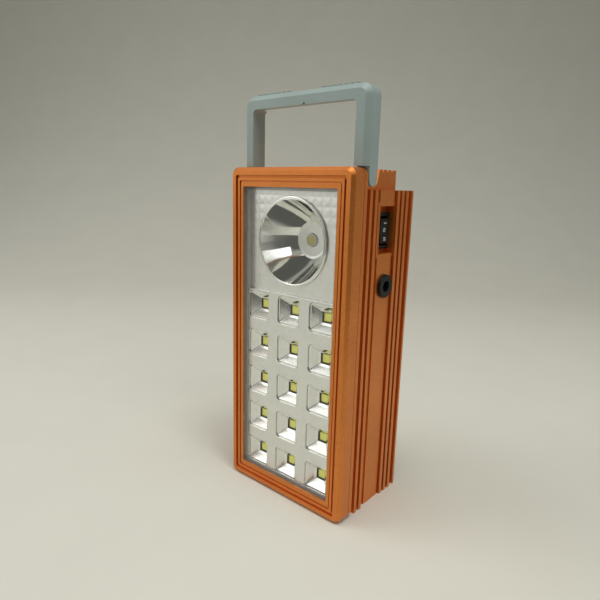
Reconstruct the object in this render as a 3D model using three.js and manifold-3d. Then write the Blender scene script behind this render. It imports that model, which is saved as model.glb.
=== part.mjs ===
// Rechargeable emergency lantern: a torch bowl over fifteen SMD lamps in an orange housing, with a
// folding handle on top, a three-position rocker switch and a charging socket in the right side.
// Millimetres. +X is the lantern's left as it faces the viewer, -Y is the lit front, +Z is up, and the
// origin is in the middle of the base.
import * as THREE from "three";
import { mergeVertices } from "three/addons/utils/BufferGeometryUtils.js";
import Module from "manifold-3d";

const wasm = await Module();
wasm.setup();

// ---- driving dimensions -------------------------------------------------------------------------
const GAP = 0.3;
const WALL = 2.2;

const BODY = { w: 80, h: 177, front: -28.5, back: 27, corner: 4.2 };
const BEZEL = { back: -16.9, chamfer: 1.6, rearChamfer: 0.5, plate: 1.8, seam: -20, seamDepth: 0.35 };
const WINDOW = { halfW: 30.95, bottom: 9.7, top: 167.3, corner: 1, inset: 0.9 };
const GROOVES = [
  { from: 3.9, to: 5.3, depth: 1.2, bandDrop: 0.4 },
  { from: 6.6, to: 7.3, depth: 1.1, bandDrop: 0.7 },
];

const SHELL = { top: 167.2, ribX: 39.4, grooveX: 37.6, channelX: 38.3, corner: 1.2 };
const LIP = { length: 3, t: 1.3 };
const CHANNEL = { front: -3.6, back: 9.6 };
const FRONT_RIBS = { first: -13.95, pitch: 4.3, width: 2.15, count: 2 };
const REAR_RIBS = { first: 10.5, pitch: 4.25, width: 2.3, count: 3 };
const REAR_BAND = 24.6;
const PLATEAU = { halfW: 32.5, back: 19.2, top: 177 };
const TEETH = { count: 3, first: 3.3, pitch: 4.1, depth: 1.3 };
const TROUGH = { front: -8, floor: 168.4, rise: [[-0.4, 168.4], [1.4, 169.6], [2.3, 171.5], [3.9, 178]] };

const SWITCH = { y: 3.8, z: 147.4, flangeW: 12.4, flangeH: 18, flangeT: 1.6, bodyW: 10.8, bodyH: 16.2 };
const POCKET = { front: -3, back: 10.3, bottom: 136.3, top: 159.6, floorX: 33.75, wall: 1.8 };
const ROCKER = { w: 7.8, h: 12.4, sink: 1.2, rise: 2.3, endRise: 0.6, skirt: 3, play: 0.9 };
const JACK = { y: 3.7, z: 119.9, flangeR: 6, barrelR: 4.1, socketR: 2.85, pinR: 0.95, depth: 13 };

const REFLECTOR = { halfW: 31.2, bottom: 5, top: 171.2, ledFace: -24.9, torchFace: -23, step: 112.9 };
const SKIN = 1.2;
const CELL = { columns: 3, rows: 5, pitchX: 21.5, pitchZ: 21.58, topZ: 104.5, half: 7.7, ledgeHalf: 5.85 };
const CUP = { ledge: 0.7, depth: 5.6, hole: 2.8 };
const LED = { size: 5, height: 1.6 };
const TORCH = { z: 140.4, rimR: 22.9, mouthR: 21.3, baseR: 10.8, depth: 17.2, skin: 1.1, rimRise: 1.3 };
const LED_BOARD = { halfW: 29.4, bottom: 8, top: 112, t: 1.6, face: -17.6 };
const BOARD_SCREWS = { x: 10.75, z: [29, 93.7] };

const BATTERY = { w: 48, d: 24, h: 74, y: 8.4, z: 3.1 };
const CONTROL = { halfW: 26, bottom: 84, top: 132, y: 22, t: 1.6 };

const CASE_SCREWS = { x: 33.8, z: [9, 130.7], boss: 2, column: 3.6, bore: 2.6, seat: -9 };
const HANDLE = {
  halfW: 40,
  leg: 7.2,
  front: -19.2,
  base: -16.6,
  back: -10.2,
  top: 213.4,
  bar: 6.9,
  chamfer: 2.5,
  rearChamfer: 4.5,
  corner: 5.5,
  innerCorner: 2.2,
};
const NOTCH = { x: [1.3, 2.9], size: 0.8 };
const PIVOT = { y: -13.4, z: 171.8, stubR: 2.2 };
const GRIP_RIDGES = { perSide: 7, pitch: 3.3, first: 11, width: 1.5, rise: 0.7 };
const ROUND = 32;

// ---- materials ----------------------------------------------------------------------------------
const paint = (color, roughness, metalness = 0) =>
  new THREE.MeshStandardMaterial({ color, roughness, metalness });
const MATERIAL = {
  copper: paint(0xb4662c, 0.42, 0.35),
  handle: paint(0x82908a, 0.5),
  clear: paint(0xdfe6e4, 0.08),
  mirror: paint(0xd4d6cf, 0.12, 1),
  black: paint(0x111214, 0.45),
  lamp: paint(0xe9e3b4, 0.4),
  board: paint(0xe8e8e0, 0.5),
  greenBoard: paint(0x2c6a3a, 0.5),
  steel: paint(0x9a9c9e, 0.35, 1),
  brass: paint(0xb58b45, 0.35, 1),
  battery: paint(0x2b2d33, 0.6),
  foam: paint(0x3a3a3a, 0.95),
  amber: paint(0x8f4a1c, 0.4),
  red: paint(0xb02020, 0.5),
};

// ---- solids -------------------------------------------------------------------------------------
function solid(geometry) {
  const bare = geometry.clone();
  bare.deleteAttribute("normal");
  bare.deleteAttribute("uv");
  const merged = mergeVertices(bare, 1e-4);
  return new wasm.Manifold(
    new wasm.Mesh({
      numProp: 3,
      vertProperties: new Float32Array(merged.attributes.position.array),
      triVerts: new Uint32Array(merged.index.array),
    }),
  );
}

const join = (first, ...others) => others.reduce((all, one) => all.add(one), first);
const cut = (first, ...others) => others.reduce((all, one) => all.subtract(one), first);

function geometryOf(body) {
  const mesh = body.getMesh();
  const geometry = new THREE.BufferGeometry();
  geometry.setAttribute("position", new THREE.BufferAttribute(mesh.vertProperties.slice(), 3));
  geometry.setIndex(new THREE.BufferAttribute(mesh.triVerts.slice(), 1));
  geometry.computeVertexNormals();
  return geometry;
}

// A box between two corners.
function box(x0, x1, y0, y1, z0, z1) {
  const geometry = new THREE.BoxGeometry(x1 - x0, y1 - y0, z1 - z0);
  return solid(geometry.translate((x0 + x1) / 2, (y0 + y1) / 2, (z0 + z1) / 2));
}

function rectShape(x0, x1, z0, z1, r = 0, hole = null, segments = 5) {
  const s = new THREE.Shape();
  if (r === 0) {
    s.moveTo(x0, z0).lineTo(x1, z0).lineTo(x1, z1).lineTo(x0, z1).closePath();
  } else {
    s.moveTo(x0 + r, z0).lineTo(x1 - r, z0).absarc(x1 - r, z0 + r, r, -Math.PI / 2, 0, false);
    s.lineTo(x1, z1 - r).absarc(x1 - r, z1 - r, r, 0, Math.PI / 2, false);
    s.lineTo(x0 + r, z1).absarc(x0 + r, z1 - r, r, Math.PI / 2, Math.PI, false);
    s.lineTo(x0, z0 + r).absarc(x0 + r, z0 + r, r, Math.PI, 1.5 * Math.PI, false);
  }
  if (hole) s.holes.push(hole);
  s.segments = segments;
  return s;
}

// An outline in X and Z, from y0 back to y1. A bevel eats into the outline and the length.
function alongY(shape, y0, y1, bevel = 0) {
  const geometry = new THREE.ExtrudeGeometry(shape, {
    depth: y1 - y0 - 2 * bevel,
    curveSegments: shape.segments ?? 5,
    bevelEnabled: bevel > 0,
    bevelSize: bevel,
    bevelThickness: bevel,
    bevelOffset: -bevel,
    bevelSegments: 1,
  });
  return solid(geometry.rotateX(Math.PI / 2).translate(0, y1 - bevel, 0));
}

// An outline in X and Y, from z0 up to z1.
function alongZ(shape, z0, z1, segments = 5) {
  const geometry = new THREE.ExtrudeGeometry(shape, {
    depth: z1 - z0,
    curveSegments: segments,
    bevelEnabled: false,
  });
  return solid(geometry.translate(0, 0, z0));
}

// An outline in Y and Z, from x0 to x1.
function alongX(shape, x0, x1, segments = 6) {
  const geometry = new THREE.ExtrudeGeometry(shape, {
    depth: x1 - x0,
    curveSegments: segments,
    bevelEnabled: false,
  });
  geometry.applyMatrix4(
    new THREE.Matrix4().makeBasis(
      new THREE.Vector3(0, 1, 0),
      new THREE.Vector3(0, 0, 1),
      new THREE.Vector3(1, 0, 0),
    ),
  );
  return solid(geometry.translate(x0, 0, 0));
}

function rodY(x, z, r, y0, y1, sides = ROUND) {
  const geometry = new THREE.CylinderGeometry(r, r, y1 - y0, sides);
  return solid(geometry.translate(x, (y0 + y1) / 2, z));
}

function rodX(y, z, r, x0, x1, sides = ROUND) {
  const geometry = new THREE.CylinderGeometry(r, r, x1 - x0, sides);
  geometry.rotateZ(-Math.PI / 2);
  return solid(geometry.translate((x0 + x1) / 2, y, z));
}

function rodZ(x, y, r, z0, z1, sides = 16) {
  const geometry = new THREE.CylinderGeometry(r, r, z1 - z0, sides);
  geometry.rotateX(Math.PI / 2);
  return solid(geometry.translate(x, y, (z0 + z1) / 2));
}

// A profile of [radius, distance along Y] turned about the line through (x, z) that runs along Y.
function turnedY(profile, x, z, sides = 40) {
  const points = profile.map(([r, y]) => new THREE.Vector2(r, y));
  const geometry = new THREE.LatheGeometry(points, sides);
  return solid(geometry.translate(x, 0, z));
}

// A square frustum along Y: half-width a at y0, b at y1.
function frustumY(x, z, a, b, y0, y1) {
  const geometry = new THREE.CylinderGeometry(b * Math.SQRT2, a * Math.SQRT2, y1 - y0, 4);
  geometry.rotateY(Math.PI / 4);
  return solid(geometry.translate(x, (y0 + y1) / 2, z));
}

function wire(points, r = 0.75) {
  const path = new THREE.CatmullRomCurve3(points.map((p) => new THREE.Vector3(...p)), false, "centripetal");
  const section = new THREE.Shape().absarc(0, 0, r, 0, 2 * Math.PI, false);
  const geometry = new THREE.ExtrudeGeometry(section, {
    steps: 4 * points.length,
    curveSegments: 3,
    bevelEnabled: false,
    extrudePath: path,
  });
  return solid(geometry);
}

// ---- housing ------------------------------------------------------------------------------------
const half = BODY.w / 2;

function inset(d, r) {
  return rectShape(-half + d, half - d, d, BODY.h - d, r);
}

function frontBezel() {
  const { front } = BODY;
  const far = 12;
  const chamfered = alongY(inset(0, BODY.corner), front, BEZEL.back + far, BEZEL.chamfer);
  const rear = alongY(inset(0, BODY.corner), front - far, BEZEL.back, BEZEL.rearChamfer);
  let bezel = chamfered.intersect(rear);
  const seam = rectShape(-half - 1, half + 1, -1, BODY.h + 1, 0, inset(BEZEL.seamDepth, BODY.corner));
  bezel = cut(bezel, alongY(seam, BEZEL.seam - 0.15, BEZEL.seam + 0.15));
  bezel = cut(bezel, alongY(inset(WALL, 2.6), front + BEZEL.plate, BEZEL.back + 1));
  for (const g of GROOVES) {
    bezel = cut(bezel, alongY(inset(g.to, 0.6), front - 1, front + g.bandDrop));
    const ring = rectShape(-half + g.from, half - g.from, g.from, BODY.h - g.from, 1, inset(g.to, 0.6));
    bezel = cut(bezel, alongY(ring, front - 1, front + g.depth));
  }
  const { halfW, bottom, top, corner } = WINDOW;
  bezel = cut(bezel, alongY(rectShape(-halfW, halfW, bottom, top, corner), front - 1, BEZEL.back + 1));
  for (const x of [-CASE_SCREWS.x, CASE_SCREWS.x])
    for (const z of CASE_SCREWS.z) {
      bezel = join(bezel, rodY(x, z, CASE_SCREWS.boss, front + BEZEL.plate - 0.5, BEZEL.back - GAP, 16));
      bezel = cut(bezel, rodY(x, z, 1.1, front + BEZEL.plate + 1, BEZEL.back, 12));
    }
  return bezel;
}

// The plan of the rear shell: ribs and grooves down each side, a flat channel between them.
function shellPlan() {
  const side = [[SHELL.grooveX, BEZEL.back + GAP]];
  const step = (x, y) => {
    side.push([side.at(-1)[0], y], [x, y]);
  };
  const ribs = ({ first, pitch, width, count }) => {
    for (let i = 0; i < count; i++) {
      step(SHELL.ribX, first + i * pitch);
      step(SHELL.grooveX, first + i * pitch + width);
    }
  };
  ribs(FRONT_RIBS);
  step(SHELL.channelX, CHANNEL.front);
  step(SHELL.grooveX, CHANNEL.back);
  ribs(REAR_RIBS);
  step(SHELL.ribX, REAR_BAND);
  const plan = new THREE.Shape();
  side.forEach(([x, y], i) => (i ? plan.lineTo(x, y) : plan.moveTo(x, y)));
  const r = SHELL.corner;
  plan.lineTo(SHELL.ribX, BODY.back - r);
  plan.absarc(SHELL.ribX - r, BODY.back - r, r, 0, Math.PI / 2, false);
  plan.lineTo(-SHELL.ribX + r, BODY.back);
  plan.absarc(-SHELL.ribX + r, BODY.back - r, r, Math.PI / 2, Math.PI, false);
  side.reverse().forEach(([x, y]) => plan.lineTo(-x, y));
  plan.closePath();
  return plan;
}

// The top block: a beam that carries the handle, a trough behind it, and a serrated rear half.
function plateau() {
  const { halfW, back, top } = PLATEAU;
  const front = BEZEL.back + GAP;
  let block = box(-halfW, halfW, front, back, SHELL.top - 3, top);
  for (let i = 0; i < TEETH.count; i++) {
    const y = back - TEETH.first - i * TEETH.pitch;
    const notch = new THREE.Shape();
    notch.moveTo(y, top + 0.5).lineTo(y - 0.6, top - TEETH.depth);
    notch.lineTo(y - 1.4, top - TEETH.depth).lineTo(y - 2, top + 0.5).closePath();
    block = cut(block, alongX(notch, -halfW - 1, halfW + 1));
  }
  const trough = new THREE.Shape();
  trough.moveTo(TROUGH.front, top + 1).lineTo(TROUGH.front, TROUGH.floor);
  for (const [y, z] of TROUGH.rise) trough.lineTo(y, z);
  trough.closePath();
  return cut(block, alongX(trough, -halfW - 1, halfW + 1));
}

// The lip that plugs into the bezel, with ears that close it beside the plateau.
function shellLip() {
  const d = WALL + GAP;
  const ring = rectShape(-half + d, half - d, d, BODY.h - d, 2.3, inset(d + LIP.t, 1));
  const y1 = BEZEL.back + GAP + 0.1;
  const near = PLATEAU.halfW - 1;
  const far = half - d - 0.5;
  const ear = (x0, x1) => box(x0, x1, BEZEL.back - LIP.t, y1, SHELL.top - 3, BODY.h - d - 0.5);
  const lip = join(alongY(ring, BEZEL.back - LIP.length, y1), ear(-far, -near), ear(near, far));
  const clear = (x0, x1) => box(x0, x1, BEZEL.back, y1 + 1, SHELL.top, BODY.h);
  return cut(lip, clear(-half, -PLATEAU.halfW), clear(PLATEAU.halfW, half));
}

function rearShell() {
  const front = BEZEL.back + GAP;
  const inner = SHELL.grooveX - WALL;
  const blockInner = PLATEAU.halfW - WALL;
  const deck = SHELL.top - WALL - 1;
  const troughBack = TROUGH.rise.at(-1)[0];
  let shell = join(alongZ(shellPlan(), 0, SHELL.top), plateau());
  shell = cut(
    shell,
    box(-inner, inner, front - 1, BODY.back - WALL, WALL, SHELL.top - WALL),
    box(-blockInner, blockInner, troughBack + WALL, PLATEAU.back - WALL, deck, PLATEAU.top - WALL - 0.6),
    box(-blockInner, blockInner, front - 1, TROUGH.front - WALL, deck, PLATEAU.top - 1.5),
  );
  shell = join(shell, shellLip());
  const { wall, floorX } = POCKET;
  const pocket = box(
    floorX - wall,
    SHELL.channelX - 0.1,
    POCKET.front - wall,
    POCKET.back + wall,
    POCKET.bottom - wall,
    POCKET.top + wall,
  );
  shell = join(shell, pocket);
  shell = cut(
    shell,
    box(floorX, half + 1, POCKET.front, POCKET.back, POCKET.bottom, POCKET.top),
    box(
      floorX - wall - 1,
      floorX + 1,
      SWITCH.y - SWITCH.bodyW / 2 - GAP,
      SWITCH.y + SWITCH.bodyW / 2 + GAP,
      SWITCH.z - SWITCH.bodyH / 2 - GAP,
      SWITCH.z + SWITCH.bodyH / 2 + GAP,
    ),
    rodX(JACK.y, JACK.z, JACK.barrelR + GAP, 30, half + 1),
  );
  for (const x of [-CASE_SCREWS.x, CASE_SCREWS.x])
    for (const z of CASE_SCREWS.z) {
      shell = join(shell, rodY(x, z, CASE_SCREWS.column, front, BODY.back - 1, 20));
      shell = cut(
        shell,
        rodY(x, z, CASE_SCREWS.bore, CASE_SCREWS.seat, BODY.back + 1, 16),
        rodY(x, z, 1.5, front - 1, CASE_SCREWS.seat + 1, 12),
      );
    }
  for (const side of [-1, 1]) {
    const x = side * (PLATEAU.halfW - WALL / 2);
    shell = cut(shell, rodX(PIVOT.y, PIVOT.z, PIVOT.stubR + GAP, x - 3, x + 3, 20));
  }
  return shell;
}

function caseScrew(x, z) {
  const { seat } = CASE_SCREWS;
  return join(
    rodY(x, z, 2.2, seat + GAP, seat + GAP + 1.8, 16),
    rodY(x, z, 0.75, BEZEL.back - 7, seat + 1, 10),
  );
}

// ---- optics -------------------------------------------------------------------------------------
function frontLens() {
  const front = BODY.front + WINDOW.inset;
  const w = WINDOW.halfW - GAP;
  const bottom = WINDOW.bottom + GAP;
  const top = WINDOW.top - GAP;
  const seat = BODY.front + BEZEL.plate + GAP;
  const skirtHole = rectShape(-w + SKIN, w - SKIN, bottom + SKIN, top - SKIN, 0);
  const lens = join(
    alongY(rectShape(-w, w, bottom, top, 0.8, null, 3), front, seat + 0.2),
    alongY(rectShape(-w - 0.8, w + 0.8, bottom - 3, top + 3, 0, skirtHole), seat, seat + 1),
    alongY(rectShape(-w, w, bottom, top, 0, skirtHole), seat, REFLECTOR.torchFace - GAP),
  );
  const lower = box(-half, half, REFLECTOR.ledFace - GAP, 0, 0, REFLECTOR.step + GAP);
  return cut(lens, lower);
}

const cells = [];
for (let row = 0; row < CELL.rows; row++)
  for (let column = 0; column < CELL.columns; column++)
    cells.push({
      name: `led_r${row + 1}c${column + 1}`,
      x: (column - (CELL.columns - 1) / 2) * CELL.pitchX,
      z: CELL.topZ - row * CELL.pitchZ,
    });

function ledReflector() {
  const { halfW, bottom, top, ledFace, torchFace, step } = REFLECTOR;
  const floor = ledFace + CUP.depth;
  let panel = join(
    box(-halfW, halfW, ledFace, ledFace + SKIN, bottom, step),
    box(-halfW, halfW, torchFace, torchFace + SKIN, step - 2, top),
    box(-halfW, halfW, ledFace, torchFace + SKIN, step - 2, step),
  );
  const ledge = ledFace + CUP.ledge;
  const { half: mouth, ledgeHalf } = CELL;
  const { hole } = CUP;
  const square = (x, z, r, y0, y1) => box(x - r, x + r, y0, y1, z - r, z + r);
  for (const { x, z } of cells)
    panel = join(
      panel,
      square(x, z, mouth + 0.7, ledFace + 0.4, ledge + SKIN),
      frustumY(x, z, ledgeHalf + SKIN, hole + SKIN, ledge + 0.5, floor),
    );
  for (const { x, z } of cells)
    panel = cut(
      panel,
      square(x, z, mouth, ledFace - 1, ledge),
      frustumY(x, z, ledgeHalf, hole, ledge - 0.01, floor - 0.3),
      square(x, z, hole, floor - 0.31, floor + 1),
    );
  for (const x of [-BOARD_SCREWS.x, BOARD_SCREWS.x])
    for (const z of BOARD_SCREWS.z) {
      panel = join(panel, rodY(x, z, 1.9, ledFace + 0.5, LED_BOARD.face - GAP, 12));
      panel = cut(panel, rodY(x, z, 1, ledFace + 2, 0, 10));
    }
  return cut(panel, rodY(0, TORCH.z, TORCH.mouthR + TORCH.skin + GAP, ledFace - 2, 0, 40));
}

// The bowl: a rim that laps over the panel, a parabolic wall and a flat base with a hole for the lamp.
function torchReflector() {
  const { rimR, mouthR, baseR, depth, skin, rimRise } = TORCH;
  const mouth = REFLECTOR.torchFace - rimRise;
  const steps = 7;
  const wall = (t, extra) => {
    const r = mouthR + (baseR - mouthR) * t;
    const y = mouth + depth * (1 - (r * r - baseR * baseR) / (mouthR * mouthR - baseR * baseR));
    return [r + extra, y];
  };
  const front = [];
  const rear = [];
  for (let i = 0; i <= steps; i++) {
    front.push(wall(i / steps, 0));
    rear.push(wall(i / steps, skin));
  }
  const base = mouth + depth;
  const profile = [
    ...front,
    [3.7, base],
    [3.7, base + skin],
    [baseR + skin, base + skin],
    ...rear.reverse().slice(1, -2),
    [mouthR + skin, REFLECTOR.torchFace + 0.6],
    [mouthR + skin, REFLECTOR.torchFace - GAP],
    [rimR - 0.1, REFLECTOR.torchFace - GAP],
    [rimR - 0.1, mouth + 0.2],
    [rimR - 0.4, mouth],
    front[0],
  ];
  return turnedY(profile.reverse(), 0, TORCH.z);
}

const torchBase = REFLECTOR.torchFace - TORCH.rimRise + TORCH.depth;

function torchLed() {
  const seat = torchBase + TORCH.skin + GAP - 0.05;
  return turnedY(
    [
      [0, torchBase - 2],
      [1.3, torchBase - 1.7],
      [2.3, torchBase - 0.9],
      [3.4, torchBase - 0.5],
      [3.4, seat],
      [0, seat],
    ],
    0,
    TORCH.z,
    24,
  );
}

function torchLedBoard() {
  const y = torchBase + TORCH.skin + 2 * GAP;
  return rodY(0, TORCH.z, 9.8, y, y + 1.6, 24);
}

function smdLed({ x, z }) {
  const back = LED_BOARD.face - 0.1;
  const s = LED.size / 2;
  const dome = rodY(x, z, 2.1, back - LED.height - 0.15, back - LED.height + 0.2, 16);
  return join(box(x - s, x + s, back - LED.height, back, z - s, z + s), dome);
}

function ledBoard() {
  const { halfW, bottom, top, t, face } = LED_BOARD;
  let board = box(-halfW, halfW, face, face + t, bottom, top);
  for (const x of [-BOARD_SCREWS.x, BOARD_SCREWS.x])
    for (const z of BOARD_SCREWS.z) board = cut(board, rodY(x, z, 1.3, face - 1, face + t + 1, 12));
  return board;
}

function boardScrew(x, z) {
  const y = LED_BOARD.face + LED_BOARD.t + GAP;
  return join(rodY(x, z, 2, y, y + 1.3, 12), rodY(x, z, 0.65, LED_BOARD.face - 4, y + 0.5, 8));
}

// ---- switch and charging socket -------------------------------------------------------------------
const flangeX = POCKET.floorX + GAP;
const rockerX = flangeX + SWITCH.flangeT - ROCKER.sink;

function switchBody() {
  const { y, z, flangeW, flangeH, flangeT, bodyW, bodyH } = SWITCH;
  const block = (x0, x1, w, h) => box(x0, x1, y - w / 2, y + w / 2, z - h / 2, z + h / 2);
  const face = flangeX + flangeT;
  const well = block(flangeX - 5.5, face + 1, ROCKER.w + 2 * GAP, ROCKER.h + 2 * ROCKER.play);
  const flange = block(flangeX, face, flangeW, flangeH);
  const body = block(flangeX - 11, flangeX + 0.5, bodyW, bodyH);
  return cut(join(flange, body), well);
}

// The rocker's cap is two faces that meet in a shallow valley, so one end stands out when pressed.
function switchRocker() {
  const { y, z } = SWITCH;
  const { w, h, rise, endRise, skirt } = ROCKER;
  const waist = rockerX + rise;
  const cap = new THREE.Shape();
  cap.moveTo(rockerX - skirt, z - h / 2 + 1).lineTo(waist - 0.2, z - h / 2);
  cap.lineTo(waist + endRise, z - h / 2 + 1).lineTo(waist, z).lineTo(waist + endRise, z + h / 2 - 1);
  cap.lineTo(waist - 0.2, z + h / 2).lineTo(rockerX - skirt, z + h / 2 - 1).closePath();
  return alongY(cap, y - w / 2, y + w / 2);
}

function switchTerminal(z) {
  const x = flangeX - 11 - GAP;
  return cut(
    box(x - 7.5, x, SWITCH.y - 2.4, SWITCH.y + 2.4, z - 0.4, z + 0.4),
    rodZ(x - 5.4, SWITCH.y, 0.9, z - 1, z + 1, 10),
  );
}
const terminalZ = [SWITCH.z - 6.5, SWITCH.z, SWITCH.z + 6.5];

function dcJack() {
  const face = SHELL.channelX + GAP;
  const { y, z, flangeR, barrelR, socketR, depth } = JACK;
  const lip = 1.4;
  const outer = join(
    rodX(y, z, flangeR, face, face + lip - 0.4),
    rodX(y, z, flangeR - 0.4, face + 0.2, face + lip),
    rodX(y, z, barrelR, face - depth, face + 0.5, 24),
  );
  return cut(outer, rodX(y, z, socketR, face - depth + 2.5, face + lip + 1, 24));
}

function dcJackPin() {
  const back = SHELL.channelX + GAP - JACK.depth + 2.5 + GAP;
  return rodX(JACK.y, JACK.z, JACK.pinR, back, back + 9, 16);
}

function dcJackNut() {
  const x = SHELL.grooveX - WALL - GAP;
  return cut(
    rodX(JACK.y, JACK.z, 6.2, x - 2.4, x, 6),
    rodX(JACK.y, JACK.z, JACK.barrelR + GAP, x - 4, x + 1, 24),
  );
}

// ---- power --------------------------------------------------------------------------------------
function battery() {
  const { w, d, h, y, z } = BATTERY;
  const block = alongZ(rectShape(-w / 2, w / 2, y - d / 2, y + d / 2, 2.5), z, z + h, 4);
  return join(block, box(-w / 2 + 6, w / 2 - 6, y - 4, y + 4, z + h - 1, z + h + 1.6));
}

function batteryTerminal(x) {
  const top = BATTERY.z + BATTERY.h;
  const y = BATTERY.y + 8;
  return box(x - 2.4, x + 2.4, y - 0.4, y + 0.4, top + GAP, top + 6.4);
}

function batteryPad() {
  const y = BATTERY.y + BATTERY.d / 2;
  return box(-20, 20, y + GAP, BODY.back - WALL - GAP, 12, 62);
}

function batteryTray() {
  const { w, d, y } = BATTERY;
  const t = 1.4;
  const x = w / 2 + GAP;
  const front = y - d / 2 - GAP;
  const outer = box(-x - t, x + t, front - t, BODY.back - WALL - GAP, WALL + GAP, 26);
  return cut(outer, box(-x, x, front, BODY.back, 0, 40));
}

function controlBoard() {
  const { halfW, bottom, top, y, t } = CONTROL;
  return box(-halfW, halfW, y, y + t, bottom, top);
}

const boardFace = CONTROL.y - GAP;

function dropperCapacitor() {
  return alongY(rectShape(-20, -2, 112, 126, 2), boardFace - 8, boardFace);
}

function smoothingCapacitor() {
  return rodY(8, 119, 4, boardFace - 11, boardFace, 24);
}

function bridgeRectifier() {
  return box(-19, -11, boardFace - 6, boardFace, 98, 106);
}

// ---- wiring: each run starts at a terminal and ends at the control board's lower or front edge ----
function wiring() {
  const batteryTop = BATTERY.z + BATTERY.h + 7.6;
  const pins = BATTERY.y + 8;
  const solder = boardFace - 0.9;
  const blade = flangeX - 11 - GAP - 8.6;
  const jackBack = SHELL.channelX + GAP - JACK.depth - 1.1;
  const boardBack = LED_BOARD.face + LED_BOARD.t + 1.1;
  const torchBack = torchBase + TORCH.skin + 2 * GAP + 1.6 + 1.1;
  const { red, black } = MATERIAL;
  const [low, middle, high] = terminalZ;
  return [
    ["battery_wire_red", red, [[14, pins, batteryTop], [15, pins + 1, 90], [17, solder, 94]]],
    ["battery_wire_black", black, [[-14, pins, batteryTop], [-15, pins + 1, 88], [-22, solder, 92]]],
    ["switch_wire_torch", red, [[blade, SWITCH.y, high], [6, 7, 152], [4, 14, 138], [1, solder, 130]]],
    ["switch_wire_common", black, [[blade, SWITCH.y, middle], [9, 9, 143], [10, 16, 134], [15, solder, 129]]],
    ["switch_wire_lamps", red, [[blade, SWITCH.y, low], [12, 10, 136], [17, 16, 130], [20, solder, 125]]],
    ["jack_wire_red", red, [[jackBack, JACK.y, 122], [21, 8, 120], [20, 16, 114], [20, solder, 112]]],
    ["jack_wire_black", black, [[jackBack, JACK.y, 118], [20, 7, 113], [15, 15, 108], [14, solder, 105]]],
    ["led_board_wire", red, [[-16, boardBack, 100], [-17, -6, 101], [-21, 8, 97], [-23, solder, 99]]],
    ["torch_wire", black, [[-6, torchBack, 138], [-12, 6, 136], [-23, 14, 132], [-23, solder, 128]]],
  ];
}

// ---- handle -------------------------------------------------------------------------------------
function handleSide() {
  const { front, base, back, top } = HANDLE;
  const r = back - PIVOT.y;
  const foot = BODY.h + 0.6;
  const side = new THREE.Shape();
  side.moveTo(base, PIVOT.z);
  side.absarc(PIVOT.y, PIVOT.z, r, Math.PI, 2 * Math.PI, false);
  side.lineTo(back, top - 1.4).lineTo(back - 1.4, top + 2).lineTo(front, top + 2);
  side.lineTo(front, foot).lineTo(base, foot).closePath();
  return side;
}

function handle() {
  const { halfW, leg, front, back, top, bar, chamfer, rearChamfer, corner, innerCorner } = HANDLE;
  const bottom = PIVOT.z - 6;
  const under = top - bar;
  const gripHalfW = halfW - leg;
  const opening = rectShape(-gripHalfW, gripHalfW, bottom - 40, under, innerCorner, null, 4);
  const outline = rectShape(-halfW, halfW, bottom - 20, top, corner, null, 2);
  let bail = alongY(outline, front, back + 8, chamfer);
  bail = cut(bail, alongY(opening, front - 4, back + 12));
  for (let i = 0; i < GRIP_RIDGES.perSide; i++)
    for (const side of [-1, 1]) {
      const x = side * (GRIP_RIDGES.first + i * GRIP_RIDGES.pitch);
      const w = GRIP_RIDGES.width / 2;
      bail = join(bail, box(x - w, x + w, front + chamfer, back + 2, top - 1, top + GRIP_RIDGES.rise));
    }
  bail = bail.intersect(alongX(handleSide(), -halfW - 1, halfW + 1));
  const rearEdge = new THREE.Shape();
  rearEdge.moveTo(back - rearChamfer, under - 0.01).lineTo(back + 1, under - 0.01);
  rearEdge.lineTo(back + 1, under + rearChamfer + 1).closePath();
  bail = cut(
    bail,
    alongX(rearEdge, -gripHalfW, gripHalfW),
    box(...NOTCH.x, front - 1, front + NOTCH.size, under - 1, under + NOTCH.size),
  );
  for (const side of [-1, 1]) {
    const from = side * (PLATEAU.halfW - WALL - 0.2);
    const to = side * (halfW - 3);
    bail = join(bail, rodX(PIVOT.y, PIVOT.z, PIVOT.stubR, Math.min(from, to), Math.max(from, to), 20));
    const hole = side * (halfW - 5);
    bail = cut(bail, rodX(PIVOT.y, PIVOT.z, 0.9, Math.min(from * 0.9, hole), Math.max(from * 0.9, hole), 10));
  }
  return bail;
}

function handleScrew(side) {
  const seat = PLATEAU.halfW - WALL - 0.2 - GAP;
  const span = (a, b) => [Math.min(side * a, side * b), Math.max(side * a, side * b)];
  return join(
    rodX(PIVOT.y, PIVOT.z, 2.7, ...span(seat - 1.4, seat), 16),
    rodX(PIVOT.y, PIVOT.z, 0.6, ...span(seat - 0.5, seat + 4.2), 10),
  );
}

// ---- assembly -----------------------------------------------------------------------------------
const lantern = new THREE.Group();

function add(name, body, material) {
  const mesh = new THREE.Mesh(geometryOf(body), material);
  mesh.name = name;
  lantern.add(mesh);
}

add("front_bezel", frontBezel(), MATERIAL.copper);
add("rear_shell", rearShell(), MATERIAL.copper);
add("front_lens", frontLens(), MATERIAL.clear);
add("led_reflector", ledReflector(), MATERIAL.mirror);
add("torch_reflector", torchReflector(), MATERIAL.mirror);
add("torch_led", torchLed(), MATERIAL.lamp);
add("torch_led_board", torchLedBoard(), MATERIAL.board);
add("led_board", ledBoard(), MATERIAL.board);
for (const cell of cells) add(cell.name, smdLed(cell), MATERIAL.lamp);
add("switch_body", switchBody(), MATERIAL.black);
add("switch_rocker", switchRocker(), MATERIAL.black);
terminalZ.forEach((z, i) => add(`switch_terminal_${i + 1}`, switchTerminal(z), MATERIAL.brass));
add("dc_jack", dcJack(), MATERIAL.black);
add("dc_jack_pin", dcJackPin(), MATERIAL.steel);
add("dc_jack_nut", dcJackNut(), MATERIAL.steel);
add("battery", battery(), MATERIAL.battery);
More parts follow.
